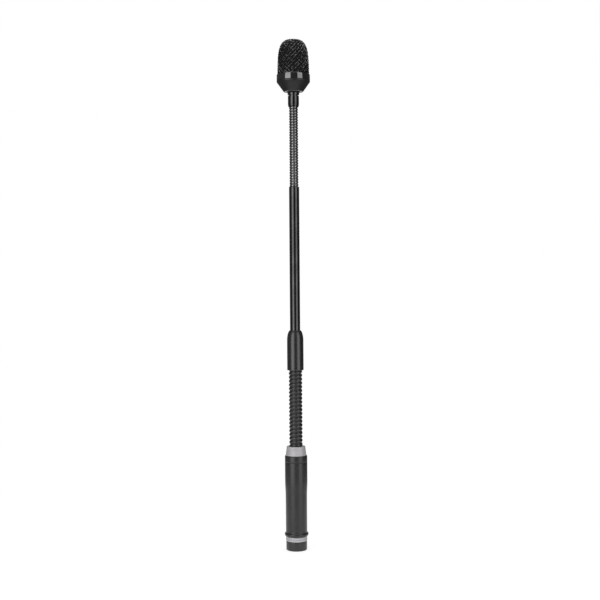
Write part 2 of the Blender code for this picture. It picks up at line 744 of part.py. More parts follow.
def main():
    clear_scene()
    tail_shell()
    insulator()
    contact_pins()
    trim_ring()
    barrel()
    insert_screw()
    barrel_cap()
    trim_collar()
    neck_anchor()
    anchor_nut()
    preamplifier()
    goosenecks()
    transition_sleeve()
    stem_tube()
    head_ferrule()
    head_cup()
    ferrule_nut()
    grille_band()
    grille()
    capsule()
    signal_cable()


main()
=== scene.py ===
# %% [markdown]
# # A gooseneck podium microphone, finished piece by piece
#
# The engineering model of this microphone already exists: every part is there, in its place, with the hinges
# that let the two goosenecks bend. Here it gets its looks. Each part that can be seen is modelled again with
# fine edges and a finish of its own, in exactly the place that the engineering model gives.

# %% Load the frame
import json
import math

import bmesh
import bpy
from mathutils import Matrix, Vector


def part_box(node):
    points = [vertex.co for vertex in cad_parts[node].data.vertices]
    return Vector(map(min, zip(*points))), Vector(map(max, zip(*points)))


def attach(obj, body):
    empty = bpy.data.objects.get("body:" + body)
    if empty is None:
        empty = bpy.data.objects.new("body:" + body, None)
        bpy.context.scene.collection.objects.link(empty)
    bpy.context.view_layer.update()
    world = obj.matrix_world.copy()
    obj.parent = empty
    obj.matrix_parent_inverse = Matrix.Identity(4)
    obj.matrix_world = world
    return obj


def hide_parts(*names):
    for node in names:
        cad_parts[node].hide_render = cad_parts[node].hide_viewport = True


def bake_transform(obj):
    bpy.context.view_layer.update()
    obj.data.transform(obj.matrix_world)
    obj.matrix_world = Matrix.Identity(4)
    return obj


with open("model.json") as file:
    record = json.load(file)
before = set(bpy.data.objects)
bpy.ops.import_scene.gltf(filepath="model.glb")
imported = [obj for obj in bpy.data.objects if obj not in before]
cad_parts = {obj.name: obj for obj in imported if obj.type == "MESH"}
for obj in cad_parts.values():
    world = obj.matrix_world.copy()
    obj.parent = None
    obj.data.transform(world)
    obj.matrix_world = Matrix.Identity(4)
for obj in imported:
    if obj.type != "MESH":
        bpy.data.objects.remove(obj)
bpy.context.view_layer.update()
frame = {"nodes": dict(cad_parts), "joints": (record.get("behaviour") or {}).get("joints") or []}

MM = 0.001

# %% [markdown]
# ## Shader maths that reads like maths
#
# A material is a tree of nodes. Wiring a hundred of them by hand hides what the finish is, so one small class
# wraps an output socket: adding or multiplying two of them makes the Math node for it, and `node` makes any
# other kind. That way a finish can be written, and read, as a sentence.

# %% The class for sockets
class Signal:
    """An output of a material's node that Python's operators work on."""

    def __init__(self, tree, socket=None):
        self.tree = tree
        self.socket = socket

    def node(self, kind, settings, sockets, output=0):
        """Adds a node, gives it its settings, then its sockets' values or links, and returns one output."""
        made = self.tree.nodes.new(kind)
        for name, value in settings.items():
            if name == "stops":
                ramp = made.color_ramp.elements
                ramp[0].position, ramp[0].color = value[0]
                ramp[1].position, ramp[1].color = value[-1]
                for position, colour in value[1:-1]:
                    ramp.new(position).color = colour
            else:
                setattr(made, name, value)
        for name, value in sockets.items():
            if isinstance(value, Signal):
                self.tree.links.new(value.socket, made.inputs[name])
            else:
                made.inputs[name].default_value = value
        return Signal(self.tree, made.outputs[output])

    def math(self, operation, first, second=0.0):
        return self.node("ShaderNodeMath", {"operation": operation}, {0: first, 1: second})

    def __add__(self, other):
        return self.math("ADD", self, other)

    def __sub__(self, other):
        return self.math("SUBTRACT", self, other)

    def __rsub__(self, other):
        return self.math("SUBTRACT", other, self)

    def __mul__(self, other):
        return self.math("MULTIPLY", self, other)

    def noise(self, scale, detail=2.0, roughness=0.5):
        """Soft random blotches, 0 to 1, that many to the metre."""
        sockets = {"Vector": self, "Scale": scale, "Detail": detail, "Roughness": roughness}
        return self.node("ShaderNodeTexNoise", {}, sockets)

    def stretched(self, x, y, z):
        """The same place, with each axis scaled."""
        return self.node("ShaderNodeMapping", {}, {"Vector": self, "Scale": (x, y, z)})

    def ramped(self, low, high):
        """0 below low and 1 above high, with an eased slope between."""
        sockets = {"Value": self, "From Min": low, "From Max": high}
        return self.node("ShaderNodeMapRange", {"interpolation_type": "SMOOTHSTEP"}, sockets)

    def mixed(self, dark, light):
        """A colour between dark, where this is 0, and light, where it is 1."""
        colours = {6: as_colour(dark), 7: as_colour(light)}
        return self.node("ShaderNodeMix", {"data_type": "RGBA"}, {0: self, **colours}, output=2)

    def relief(self):
        """The surface's normal, with this as the height of a relief in metres."""
        return self.node("ShaderNodeBump", {}, {"Height": self, "Distance": 1.0, "Strength": 1.0})


def as_colour(value):
    """A grey, or three shares of red, green and blue, as a socket's colour. A socket stays as it is."""
    if isinstance(value, Signal):
        return value
    if isinstance(value, (int, float)):
        value = (value, value, value)
    return (*value, 1.0)


print("Signal can do:", [name for name in vars(Signal) if not name.startswith("_")])

# %% [markdown]
# ## One maker for every finish
#
# A Principled shader has two kinds of sockets here. Those that are the same all over a piece, such as the
# weight of a clear coat, are plain numbers. Those that vary, such as colour and roughness, get a Signal that is
# worked out from the place on the piece, so no finish is one flat colour.

# %% The maker for finishes
FINISHES = {}


def new_finish(name, **numbers):
    """Adds a finish. Returns its shader and the place on the piece. Numbers go on the shader's own sockets."""
    material = bpy.data.materials.new(name)
    material.use_nodes = True
    FINISHES[name] = material
    tree = material.node_tree
    shader = tree.nodes["Principled BSDF"]
    for socket, value in numbers.items():
        shader.inputs[socket.replace("_", " ")].default_value = value
    place = Signal(tree).node("ShaderNodeTexCoord", {}, {}, output="Object")
    return shader, place


def wire_up(shader, **signals):
    """Links the varying sockets of a shader."""
    for socket, signal in signals.items():
        signal.tree.links.new(signal.socket, shader.inputs[socket.replace("_", " ")])


# %% [markdown]
# ## Dark finishes of the handle, the sleeve and the cup
#
# The handle is dark anodised metal: a dense, slightly cloudy grey-black with a microscopic grain that spreads
# every reflection. The sleeve is lacquered, so it is blacker and has the faint waviness of sprayed paint. The
# cup's paint is duller. All come from one recipe with other numbers.

# %% The recipe for dark metal
def dark_metal(name, dark, light, roughness, grain, waviness, **numbers):
    """Cloudy dark metal: grain is the relief of its fine texture and waviness that of the paint, in metres."""
    shader, place = new_finish(name, **numbers)
    clouds = place.noise(60.0, 3.0)
    fine = place.noise(4200.0, 2.0, 0.7)
    wave = place.noise(700.0, 1.0)
    scuffs = place.stretched(1.0, 1.0, 0.12).noise(1500.0, 4.0, 0.6).ramped(0.62, 0.78)
    wire_up(
        shader,
        Base_Color=(clouds * 0.6 + fine * 0.4).ramped(0.3, 0.7).mixed(dark, light),
        Roughness=clouds * 0.08 + fine * 0.06 + scuffs * 0.07 + (roughness - 0.07),
        Normal=(fine * grain + wave * waviness).relief(),
    )


dark_metal("barrel_black", (0.014, 0.0133, 0.015), (0.02, 0.019, 0.0212), 0.3, 4e-6, 2e-6)
dark_metal("tail_black", (0.016, 0.0152, 0.0165), (0.024, 0.023, 0.0248), 0.38, 5e-6, 2e-6)
dark_metal("sleeve_black", (0.006, 0.0057, 0.006), (0.01, 0.0096, 0.01), 0.3, 1.5e-6, 3e-6, IOR=1.7)
dark_metal("cup_black", (0.006, 0.0056, 0.0068), (0.01, 0.0093, 0.011), 0.4, 4e-6, 2e-6)
print("Dark finishes:", sorted(FINISHES))

# %% [markdown]
# ## Black chrome for the band, the ferrule and the tube
#
# The band round the head is plated black and polished until it works as a mirror: the windows of light in it
# have clean edges. It reflects more than a lacquer would, so it is a dark metal to the shader. What keeps it
# from looking like glass is what hands and cloths leave on it, hairline scratches round the axis and a few dull
# spots of dust. Both live in the roughness. The tube has the same plating over a less polished drawn surface.

# %% Black chrome
PEEL = 1e-6


def black_chrome(name, dark, light, roughness):
    shader, place = new_finish(name, Metallic=1.0)
    hairlines = place.stretched(0.15, 0.15, 6.0).noise(2600.0, 3.0, 0.7).ramped(0.6, 0.75)
    dust = place.noise(5200.0, 1.0).ramped(0.72, 0.8)
    wire_up(
        shader,
        Base_Color=place.noise(120.0, 2.0).ramped(0.3, 0.7).mixed(dark, light),
        Roughness=hairlines * 0.05 + dust * 0.12 + roughness,
        Normal=(place.noise(90.0, 1.0) * PEEL).relief(),
    )


black_chrome("gloss_black", 0.125, 0.145, 0.06)
black_chrome("ferrule_black", 0.064, 0.082, 0.1)
black_chrome("stem_black", (0.062, 0.06, 0.061), (0.08, 0.077, 0.078), 0.17)
print("Black chrome makes", len(FINISHES), "finishes so far")

# %% [markdown]
# ## Satin silver for the two trim rings
#
# The collar and the lower ring are turned, then blasted and clear anodised. The lathe tool's marks survive as
# very fine rings, so a noise stretched flat along the rings makes them: it changes quickly up the axis and
# slowly round it. The blasting adds an even grain that makes the metal look soft.

# %% Turned and blasted silver
def turned_silver(name, dark, light, roughness, ring_marks, grain, metal=1.0):
    shader, place = new_finish(name, Metallic=metal)
    marks = place.stretched(0.03, 0.03, 1.0).noise(9000.0, 2.0, 0.6)
    fine = place.noise(5200.0, 2.0, 0.7)
    clouds = place.noise(160.0, 3.0)
    wire_up(
        shader,
        Base_Color=(marks * 0.35 + clouds * 0.45 + fine * 0.2).ramped(0.3, 0.7).mixed(dark, light),
        Roughness=marks * 0.12 + fine * 0.08 + (roughness - 0.1),
        Normal=(marks * ring_marks + fine * grain).relief(),
    )


turned_silver("satin_silver", (0.42, 0.41, 0.425), (0.5, 0.49, 0.505), 0.6, 1.5e-6, 2e-6, metal=0.45)
turned_silver("bare_steel", (0.42, 0.42, 0.43), 0.55, 0.3, 6e-6, 2e-6)
turned_silver("capsule_silver", (0.55, 0.54, 0.52), (0.66, 0.65, 0.63), 0.28, 4e-6, 1e-6)
turned_silver("contact_metal", (0.62, 0.6, 0.56), (0.75, 0.73, 0.69), 0.2, 3e-6, 1e-6)
print("With silver:", len(FINISHES))

# %% [markdown]
# ## Finishes of the goosenecks and the grille
#
# A gooseneck is a coil of black-finished steel wire. Bending it rubs the turns against each other and against
# hands, so the crests are polished a little, and the valleys keep their matt finish. The valleys' colour is
# also darker, as painted shade where the turns hide each other. Each coil's mesh stores crest against valley as
# an attribute, from 0 in the valleys to 1 on the crests, which stays right when the neck bends. The grille's
# wires are painted, and the paint is thin on the high spots of the weave.

# %% Rubbed wire
def worn_and_shaded_wire(name, dark, light, roughness, grain, **numbers):
    """Blackened wire, polished and lighter towards the crests as wear, and darker in the valleys as painted
    shade, by the mesh's own crest attribute.
    """
    shader, place = new_finish(name, **numbers)
    stored = place.node("ShaderNodeAttribute", {"attribute_name": "rubbed"}, {}, output="Fac")
    rubbed = stored.ramped(0.0, 1.0)
    fine = place.noise(6000.0, 3.0, 0.7)
    patches = place.noise(450.0, 2.0)
    wire_up(
        shader,
        # Base colour: lighter on the crests as rubbed wear, darker in the valleys as painted shade between the
        # turns
        Base_Color=(patches * 0.5 + rubbed * 0.5).mixed(dark, light),
        Roughness=patches * 0.12 + fine * 0.06 - rubbed * 0.14 + roughness,
        Normal=(fine * grain).relief(),
    )


# Dark is the valleys' painted shade, light is the crests' own rubbed colour
worn_and_shaded_wire("lower_coil_black", (0.006, 0.0056, 0.0058), (0.014, 0.013, 0.0135), 0.38, 3e-6, IOR=1.6)
worn_and_shaded_wire("upper_coil_black", 0.03, 0.3, 0.22, 1e-6, Metallic=1.0)


def painted_wire(name, dark, light, roughness):
    shader, place = new_finish(name, Metallic=1.0)
    blotches = place.noise(1500.0, 3.0, 0.6)
    worn = place.noise(420.0, 2.0).ramped(0.45, 0.7)
    wire_up(
        shader,
        Base_Color=(blotches * 0.5 + worn * 0.5).mixed(dark, light),
        Roughness=blotches * 0.16 - worn * 0.08 + roughness,
        Normal=(blotches * 3e-6).relief(),
    )


painted_wire("mesh_black", 0.035, (0.19, 0.175, 0.182), 0.22)
print("Finishes so far:", len(FINISHES))

# %% [markdown]
# ## Finishes inside
#
# Foam, rubber, plastic and a circuit board are not seen from outside, except the foam through the grille and
# the contacts' holder in the tail. They still get their own colour and texture, so a cutaway looks right.

# %% Foam, rubber, moulded plastic, board, capacitor sleeve and cable jacket
def foam(name, dark, light):
    shader, place = new_finish(name, Specular_IOR_Level=0.2)
    cells = place.node("ShaderNodeTexVoronoi", {}, {"Vector": place, "Scale": 1700.0})
    wire_up(
        shader,
        Base_Color=cells.ramped(0.1, 0.6).mixed(dark, light),
        Roughness=cells * 0.1 + 0.85,
        Normal=(cells * 1.5e-4).relief(),
    )


def moulded(name, dark, light, roughness, scale, grain):
    """Plastic, rubber or lacquered board: a fine even texture on a slightly uneven colour."""
    shader, place = new_finish(name)
    fine = place.noise(scale, 3.0, 0.6)
    uneven = place.noise(scale / 12, 2.0)
    wire_up(
        shader,
        Base_Color=(fine * 0.4 + uneven * 0.6).ramped(0.3, 0.7).mixed(dark, light),
        Roughness=fine * 0.15 + (roughness - 0.07),
        Normal=(fine * grain).relief(),
    )


foam("foam_grey", 0.004, 0.018)
moulded("mount_rubber", 0.012, 0.022, 0.75, 3000.0, 8e-6)
moulded("insulator_black", 0.02, 0.032, 0.45, 2600.0, 6e-6)
moulded("board_green", (0.01, 0.07, 0.03), (0.02, 0.12, 0.05), 0.35, 1800.0, 4e-6)
moulded("capacitor_blue", (0.015, 0.03, 0.11), (0.03, 0.05, 0.17), 0.3, 1500.0, 3e-6)
# This pale white is a painted reflection: the ring under the cup stands in for the bright background reflected
# there
moulded("painted_reflection_white", 0.78, 0.86, 0.4, 2400.0, 2e-6)
moulded("cable_grey", 0.04, 0.06, 0.55, 2400.0, 5e-6)
print("All finishes:", len(FINISHES))

# %% [markdown]
# ## Turned pieces
#
# Nearly everything on this microphone came off a lathe, so a Python lathe makes it: an outline of corners is
# drawn in the XZ plane and spun round the Z axis. A real turned edge is never a knife edge. Each corner says
# how far it is rounded, and a vertex bevel on the flat outline rounds it before the spin. Long straight runs
# are cut into shorter ones, because smooth shading spreads over a whole face and would smear a rounded edge's
# shading up the tube.
#
# Outlines are in millimetres, which are easier to read, and the finished mesh is scaled to metres.

# %% The lathe
FACETS = 96
FEW_FACETS = 40
ROUNDING_STEPS = 3
LONGEST_RUN = 2.5
MERGE = 0.001


def outlined(corners):
    """A bmesh with the outline of (radius, height, rounding) corners. One that ends on the axis stays open."""
    bm = bmesh.new()
    points = [bm.verts.new((radius, 0, height)) for radius, height, rounding in corners]
    ends_on_axis = corners[0][0] == 0 and corners[-1][0] == 0
    following = points[1:] if ends_on_axis else points[1:] + points[:1]
    for pair in zip(points, following):
        bm.edges.new(pair)
    for point, (radius, height, rounding) in zip(points, corners):
        if rounding:
            shape = {"segments": ROUNDING_STEPS, "profile": 0.5, "material": -1}
            bmesh.ops.bevel(bm, geom=[point], offset=rounding, affect="VERTICES", **shape)
    for edge in list(bm.edges):
        cuts = int(edge.calc_length() / LONGEST_RUN)
        if cuts:
            bmesh.ops.subdivide_edges(bm, edges=[edge], cuts=cuts)
    return bm


def lathe(corners, facets=FACETS, cent=(0, 0, 0)):
    """Spins an outline about +Z."""
    bm = outlined(corners)
    geometry = list(bm.verts) + list(bm.edges)
    turn = {"cent": (0, 0, 0), "axis": (0, 0, 1), "angle": math.tau, "use_merge": True}
    bmesh.ops.spin(bm, geom=geometry, steps=facets, **turn)
    bmesh.ops.remove_doubles(bm, verts=bm.verts, dist=MERGE)
    bmesh.ops.recalc_face_normals(bm, faces=bm.faces)
    bmesh.ops.translate(bm, vec=cent, verts=bm.verts)
    return bm


def rod(radius, foot, top, facets=FEW_FACETS):
    return lathe([(0, foot, 0), (radius, foot, 0), (radius, top, 0), (0, top, 0)], facets)


def laid_back(bm, y, z):
    """Turns what stands along +Z to point along +Y, and moves it."""
    bmesh.ops.rotate(bm, cent=(0, 0, 0), matrix=Matrix.Rotation(-math.pi / 2, 3, "X"), verts=bm.verts)
    bmesh.ops.translate(bm, vec=(0, y, z), verts=bm.verts)
    return bm


# %% [markdown]
# ## From a bmesh to a piece of the microphone
#
# A finished piece is an object at the origin whose place is in its mesh, as the engineering nodes are. It rides
# on the body that its engineering part belongs to, and it takes that part's place.

# %% The maker for pieces
SHARP = math.radians(38)


def joined(first, second):
    """Adds the second bmesh's shape to the first."""
    mesh = bpy.data.meshes.new("joining")
    second.to_mesh(mesh)
    second.free()
    first.from_mesh(mesh)
    bpy.data.meshes.remove(mesh)
    return first


def new_object(name, bm, finish):
    """A smooth-shaded object of a bmesh in millimetres."""
    bmesh.ops.scale(bm, vec=(MM, MM, MM), verts=bm.verts)
    mesh = bpy.data.meshes.new(name)
    bm.to_mesh(mesh)
    bm.free()
    mesh.materials.append(FINISHES[finish])
    mesh.shade_smooth()
    mesh.set_sharp_from_angle(angle=SHARP)
    piece = bpy.data.objects.new(name, mesh)
    bpy.context.scene.collection.objects.link(piece)
    return piece


def triangles(piece):
    return sum(len(face.vertices) - 2 for face in piece.data.polygons)


def fit_piece(name, bm, finish, body, *nodes, slot=None):
    """A piece that rides on a body in place of the CAD nodes. Its slot, the finish's name unless given, is not
    used.
    """
    slot = slot or finish
    piece = new_object(name, bm, finish)
    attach(piece, body)
    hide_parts(*nodes)
    print(f"{name}: {triangles(piece)} triangles for", ", ".join(nodes))
    return piece


def measured(node):
    """A turned node's greatest radius, its foot and its head, in millimetres."""
    low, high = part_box(node)
    return high.x / MM, low.z / MM, high.z / MM


# %% [markdown]
# ## The tail
#
# The foot of the microphone is the shell of a three-pin plug. It is a thin tube with a well-rounded lower edge,
# a keyway inside at the front, and behind it a window for the socket's latch. Openings in a wall are made as a
# toolmaker would make them, with a cutter: a Boolean modifier takes the cutter's shape away, and the result is
# kept as a plain mesh.

# %% A cutter for openings
def block(size, centre):
    bm = bmesh.new()
    matrix = Matrix.Translation(centre) @ Matrix.Diagonal((*size, 1))
    bmesh.ops.create_cube(bm, size=1, matrix=matrix)
    return bm


def carved(bm, cutters):
    """The bmesh with each cutter's shape taken away."""
    objects = []
    for shape in (bm, *cutters):
        mesh = bpy.data.meshes.new("carving")
        shape.to_mesh(mesh)
        shape.free()
        objects.append(bpy.data.objects.new("carving", mesh))
        bpy.context.scene.collection.objects.link(objects[-1])
    for cutter in objects[1:]:
        modifier = objects[0].modifiers.new("cut", "BOOLEAN")
        modifier.object = cutter
        modifier.operation = "DIFFERENCE"
    result = bmesh.new()
    result.from_object(objects[0], bpy.context.evaluated_depsgraph_get())
    for item in objects:
        bpy.data.meshes.remove(item.data)
    return result


# %% The tail's shell
TAIL_RADIUS, TAIL_FOOT, SPIGOT_TOP = measured("xlr_tail_shell")
TAIL_WALL = 1.3
TAIL_BORE = TAIL_RADIUS - TAIL_WALL
RING_RADIUS, RING_FOOT, RING_TOP = measured("lower_trim_ring")
TAIL_TOP = RING_FOOT - 0.3
SPIGOT_RADIUS = TAIL_RADIUS - 0.45
FIT = 0.25
SPIGOT_BORE = SPIGOT_RADIUS + FIT
shell = lathe([
    (TAIL_BORE, TAIL_FOOT, 0.12),
    (TAIL_RADIUS, TAIL_FOOT, 1.0),
    (TAIL_RADIUS, TAIL_TOP, 0.15),
    (SPIGOT_RADIUS, TAIL_TOP, 0),
    (SPIGOT_RADIUS, SPIGOT_TOP, 0.1),
    (TAIL_BORE, SPIGOT_TOP, 0.1),
])
keyway = block((2.4, 1.2, 14.0), (0, -TAIL_BORE, 0))
latch_window = block((4.0, 3 * TAIL_WALL, 2.6), (0, TAIL_RADIUS - TAIL_WALL / 2, 4.8))
shell = carved(shell, [keyway, latch_window])
fit_piece("tail_shell", shell, "tail_black", "base", "xlr_tail_shell")

# %% [markdown]
# ## The contacts and their holder
#
# Three round pins stand in a moulded disc, deep enough in the shell that a finger can't bend them. The disc has
# a low boss round each pin and a shallow dish, as moulded parts do, and the pins' tips are rounded so that they
# find their holes.

# %% Pins and insulator
DISC_RADIUS, DISC_FOOT, DISC_TOP = measured("xlr_insulator")
disc = lathe([
    (0, DISC_FOOT + 0.5, 0),
    (DISC_RADIUS - 1.3, DISC_FOOT + 0.5, 0.3),
    (DISC_RADIUS - 1.0, DISC_FOOT, 0.15),
    (DISC_RADIUS, DISC_FOOT, 0.3),
    (DISC_RADIUS, DISC_TOP, 0.3),
    (0, DISC_TOP, 0),
])
SOLDER_WALL, SOLDER_CUP = 0.4, 3.6
for number in (1, 2, 3):
    low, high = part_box(f"xlr_pin_{number}")
    centre = (low + high) / 2 / MM
    pin_radius = (high.x - low.x) / 2 / MM
    foot, top = low.z / MM, high.z / MM
    pin = lathe([
        (0, foot, 0),
        (pin_radius, foot, 0.9),
        (pin_radius, top, 0.1),
        (pin_radius - SOLDER_WALL, top, 0.1),
        (pin_radius - SOLDER_WALL, top - SOLDER_CUP, 0.2),
        (0, top - SOLDER_CUP, 0),
    ], FEW_FACETS, (centre.x, centre.y, 0))
    fit_piece(f"contact_pin_{number}", pin, "contact_metal", "base", f"xlr_pin_{number}")
    boss = lathe([
        (pin_radius, DISC_FOOT - 0.2, 0),
        (pin_radius + 0.7, DISC_FOOT - 0.2, 0.15),
        (pin_radius + 0.9, DISC_FOOT + 1.0, 0),
        (pin_radius, DISC_FOOT + 1.0, 0),
    ], FEW_FACETS, (centre.x, centre.y, 0))
    disc = joined(disc, boss)
fit_piece("contact_holder", disc, "insulator_black", "base", "xlr_insulator")

# %% [markdown]
# ## The lower ring
#
# A silver ring parts the tail from the handle. A fine groove runs round its middle, and the ring above and
# below it is crowned a little, so it catches a line of light. Over it lies a narrow shadow gap.

# %% The lower ring
RING_MIDDLE = (RING_FOOT + RING_TOP) / 2
GROOVE = 0.16
ring = lathe([
    (SPIGOT_BORE, RING_FOOT, 0),
    (RING_RADIUS - 0.1, RING_FOOT, 0.15),
    (RING_RADIUS, RING_FOOT + 0.6, 0.4),
    (RING_RADIUS, RING_MIDDLE - GROOVE, 0.08),
    (RING_RADIUS - 0.3, RING_MIDDLE - GROOVE + 0.06, 0.05),
    (RING_RADIUS - 0.3, RING_MIDDLE + GROOVE - 0.06, 0.05),
    (RING_RADIUS, RING_MIDDLE + GROOVE, 0.08),
    (RING_RADIUS, RING_TOP - 0.6, 0.4),
    (RING_RADIUS - 0.15, RING_TOP, 0.15),
    (SPIGOT_BORE, RING_TOP, 0),
])
fit_piece("lower_ring", ring, "satin_silver", "base", "lower_trim_ring")

# %% [markdown]
# ## The handle
#
# The handle barrel swells very slightly towards its head and ends below in a rolled bead. The bead is a half
# ellipse standing off the wall. A cap closes the barrel above, and only a hairline seam shows between them, with
# both edges rounded just enough to draw a dark line.

# %% Barrel
def eased(share):
    return share * share * (3 - 2 * share)


HEAD_RADIUS, CAP_FOOT, CAP_TOP = measured("barrel_cap")
BEAD_RADIUS, BARREL_FOOT, BARREL_TOP = measured("handle_barrel")
FULLER_BEAD = 0.25
BEAD_RADIUS += FULLER_BEAD
HAIRLINE = 0.14
CAP_SEAM = BARREL_TOP + HAIRLINE
FOOT_RADIUS = HEAD_RADIUS - 0.37
BEAD_HEIGHT = 3.2
SWELL = (49.0, 63.0)
bead_turns = [math.pi * step / 14 for step in range(1, 14)]
bead = [
    (
        FOOT_RADIUS + (BEAD_RADIUS - FOOT_RADIUS) * math.sin(turn),
        BARREL_FOOT + BEAD_HEIGHT * (1 - math.cos(turn)) / 2,
        0,
    )
    for turn in bead_turns
]
swell = [
    (
        FOOT_RADIUS + (HEAD_RADIUS - FOOT_RADIUS) * eased(step / 6),
        SWELL[0] + (SWELL[1] - SWELL[0]) * step / 6,
        0,
    )
    for step in range(7)
]
BARREL_WALL = 1.4
BARREL_BORE = FOOT_RADIUS - BARREL_WALL
barrel = lathe([
    (SPIGOT_BORE, BARREL_FOOT, 0),
    (FOOT_RADIUS - 0.3, BARREL_FOOT, 0),
    *bead,
    (FOOT_RADIUS, BARREL_FOOT + BEAD_HEIGHT, 0.1),
    *swell,
    (HEAD_RADIUS, BARREL_TOP, 0.12),
    (BARREL_BORE, BARREL_TOP, 0),
    (BARREL_BORE, SPIGOT_TOP + 0.3, 0),
    (SPIGOT_BORE, SPIGOT_TOP + 0.3, 0),
])
screw_low, screw_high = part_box("insert_screw")
SCREW_Z = (screw_low.z + screw_high.z) / 2 / MM
SCREW_RADIUS = (screw_high.z - screw_low.z) / 2 / MM
PAST_WALL = 20
hole = laid_back(rod(SCREW_RADIUS + FIT, 0, PAST_WALL), 2, SCREW_Z)
fit_piece("barrel", carved(barrel, [hole]), "barrel_black", "base", "handle_barrel")

# %% Insert screw and cap
SCREW_IN, SCREW_OUT = screw_low.y / MM, screw_high.y / MM
SCREW_LENGTH = SCREW_OUT - SCREW_IN
screw_corners = [(0, 0, 0), (SCREW_RADIUS, 0, 0.1), (SCREW_RADIUS, SCREW_LENGTH, 0.25), (0, SCREW_LENGTH, 0)]
screw = lathe(screw_corners, FEW_FACETS)
socket = bmesh.new()
SOCKET = {"segments": 6, "radius1": 0.72, "radius2": 0.72, "depth": 1.6}
bmesh.ops.create_cone(socket, cap_ends=True, matrix=Matrix.Translation((0, 0, 1.5)), **SOCKET)
screw = laid_back(carved(screw, [socket]), SCREW_IN, SCREW_Z)
fit_piece("grub_screw", screw, "bare_steel", "base", "insert_screw")

ANCHOR_RADIUS = 6.18
cap = lathe([
    (ANCHOR_RADIUS + FIT, CAP_FOOT, 0),
    (BARREL_BORE - FIT, CAP_FOOT, 0.3),
    (BARREL_BORE - FIT, CAP_SEAM, 0),
    (HEAD_RADIUS, CAP_SEAM, 0.12),
    (HEAD_RADIUS, CAP_TOP, 0.35),
    (ANCHOR_RADIUS + FIT, CAP_TOP, 0),
])
fit_piece("cap", cap, "barrel_black", "base", "barrel_cap")

# %% [markdown]
# ## The collar
#
# The silver collar is a low cone that hides where the gooseneck enters the handle. Its foot stands a little
# inside the cap's edge, with a thin lip, and its head is rounded towards the neck.

# %% Collar
COLLAR_RADIUS, COLLAR_FOOT, COLLAR_TOP = measured("upper_trim_collar")
COLLAR_TAPER = 1.1
COLLAR_RISE = 0.8
COLLAR_HEAD = COLLAR_RADIUS - COLLAR_TAPER
COLLAR_LIP = COLLAR_TOP + COLLAR_RISE
NECK_RADIUS = measured("lower_neck_section_5")[0]
collar = lathe([
    (8.0, COLLAR_FOOT, 0),
    (COLLAR_RADIUS, COLLAR_FOOT, 0.12),
    (COLLAR_RADIUS - 0.02, COLLAR_FOOT + 0.7, 0.25),
    (COLLAR_RADIUS - 0.2, COLLAR_FOOT + 0.85, 0.1),
    (COLLAR_HEAD, COLLAR_LIP, 0.4),
    (NECK_RADIUS + 0.35, COLLAR_LIP, 0.3),
    (NECK_RADIUS + 0.35, COLLAR_FOOT + 1.7, 0),
    (8.0, COLLAR_FOOT + 1.7, 0),
])
fit_piece("collar", collar, "satin_silver", "base", "upper_trim_collar")

# %% [markdown] ## The goosenecks  A gooseneck is two wires wound together into a tube: a round wire whose turns
# make the ribs, and a three-sided wire wedged between the turns from outside, whose friction holds any bend.
# Spinning a wire's outline with a small step along the axis winds it, so `spin` with `dvec` makes both. The
# engineering model bends each neck at ten hinges. One fault is left: with all joints at a limit together, the
# upper neck's sixth piece does not reach the seventh.

# %% Winding wire
TURN_STEPS = 40
WIRE_SHARE = 0.48
STIFF_TURN = 0.3


def wound(outline_bm, turns, pitch, start):
    """Winds a closed wire outline that stands at +X. The winding starts at that angle round the axis."""
    matrix = Matrix.Rotation(start, 3, "Z")
    bmesh.ops.rotate(outline_bm, cent=(0, 0, 0), matrix=matrix, verts=outline_bm.verts)
    steps = round(turns * TURN_STEPS)
    geometry = list(outline_bm.verts) + list(outline_bm.edges)
    path = {"angle": math.tau * turns, "steps": steps, "dvec": (0, 0, pitch * turns / steps)}
    bmesh.ops.spin(outline_bm, geom=geometry, cent=(0, 0, 0), axis=(0, 0, 1), use_merge=False, **path)
    bmesh.ops.holes_fill(outline_bm, edges=[edge for edge in outline_bm.edges if edge.is_boundary], sides=0)
    bmesh.ops.recalc_face_normals(outline_bm, faces=outline_bm.faces)
    return outline_bm


def coil(crest, root, pitch, low, turns, start):
    """A round wire's turns with their crest at that radius, and the wedge wire that fills the valleys."""
    wire_radius = pitch * WIRE_SHARE
    centre = crest - wire_radius
    ring = bmesh.new()
    place = Matrix.Translation((centre, 0, low)) @ Matrix.Rotation(math.pi / 2, 4, "X")
    bmesh.ops.create_circle(ring, segments=18, radius=wire_radius, matrix=place)
    both = wound(ring, turns, pitch, start)
    wedge_corners = [
        (root, low + pitch * 0.3, 0.08),
        (root, low + pitch * 0.7, 0.08),
        (centre + 0.1, low + pitch * 0.5, 0.1),
    ]
    both = joined(both, wound(outlined(wedge_corners), turns, pitch, start))
    # This attribute is rubbed wear on the crests and painted shade in the valleys, by distance from the axis
    rubbed = both.verts.layers.float.new("rubbed")
    for point in both.verts:
        point[rubbed] = min(max((point.co.xy.length - root) / (crest - root), 0.0), 1.0)
    return both


def hinges(prefix):
    """A neck's joints from the lowest up."""
    found = [joint for joint in frame["joints"] if joint["name"].startswith(prefix)]
    return sorted(found, key=lambda joint: joint["pos_m"][2])


